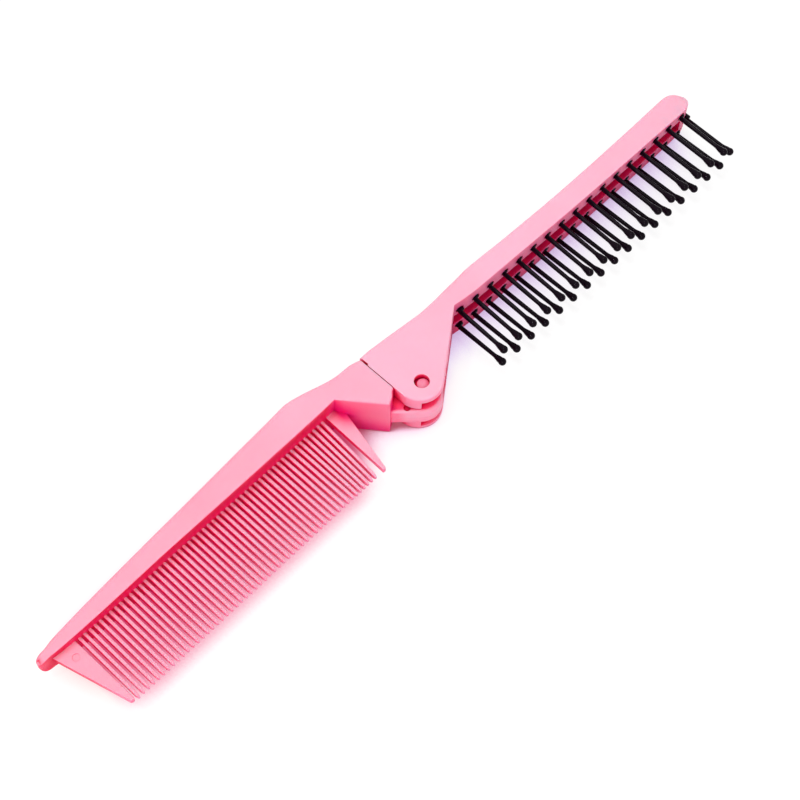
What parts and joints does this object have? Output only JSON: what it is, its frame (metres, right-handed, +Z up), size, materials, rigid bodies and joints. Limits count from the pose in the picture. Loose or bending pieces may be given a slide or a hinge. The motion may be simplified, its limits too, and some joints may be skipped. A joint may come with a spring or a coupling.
{
  "type": "folding travel brush",
  "caption": "Folding travel brush that opens end to end: a fine-tooth comb half and a two-row ball-pin brush half hinged by one pin",
  "frame": {"origin": "on the flat surface that the open brush lies on, below the middle of its box", "axes": "+X along the open brush from the comb's nose to the brush's tip, +Y from the teeth and pins toward the spines' backs, +Z up along the hinge axis"},
  "size_m": [0.213, 0.0282, 0.014],
  "materials": {
    "pink_moulding": "satin pink injection-moulded plastic",
    "hinge_pin_pink": "satin pink plastic pin",
    "black_pin": "glossy black nylon"
  },
  "bodies": {
    "comb_half": {"comb_frame": "pink_moulding"},
    "brush_half": {"brush_frame": "pink_moulding", "hinge_pin": "hinge_pin_pink", "pin_upper_01": "black_pin", "pin_lower_01": "black_pin", "pin_upper_02": "black_pin", "pin_lower_02": "black_pin", "pin_upper_03": "black_pin", "pin_lower_03": "black_pin", "pin_upper_04": "black_pin", "pin_lower_04": "black_pin", "pin_upper_05": "black_pin", "pin_lower_05": "black_pin", "pin_upper_06": "black_pin", "pin_lower_06": "black_pin", "pin_upper_07": "black_pin", "pin_lower_07": "black_pin", "pin_upper_08": "black_pin", "pin_lower_08": "black_pin", "pin_upper_09": "black_pin", "pin_lower_09": "black_pin", "pin_upper_10": "black_pin", "pin_lower_10": "black_pin", "pin_upper_11": "black_pin", "pin_lower_11": "black_pin", "pin_upper_12": "black_pin", "pin_lower_12": "black_pin", "pin_upper_13": "black_pin", "pin_lower_13": "black_pin", "pin_upper_14": "black_pin", "pin_lower_14": "black_pin", "pin_upper_15": "black_pin", "pin_lower_15": "black_pin", "pin_upper_16": "black_pin", "pin_lower_16": "black_pin", "pin_upper_17": "black_pin", "pin_lower_17": "black_pin", "pin_end": "black_pin"}
  },
  "joints": [
    {"name": "fold", "type": "hinge", "parent": "comb_half", "child": "brush_half", "pos_m": [-0.0015, -0.00465, 0.007], "axis": [0, 0, 1], "range_deg": [-180, 0]}
  ]
}
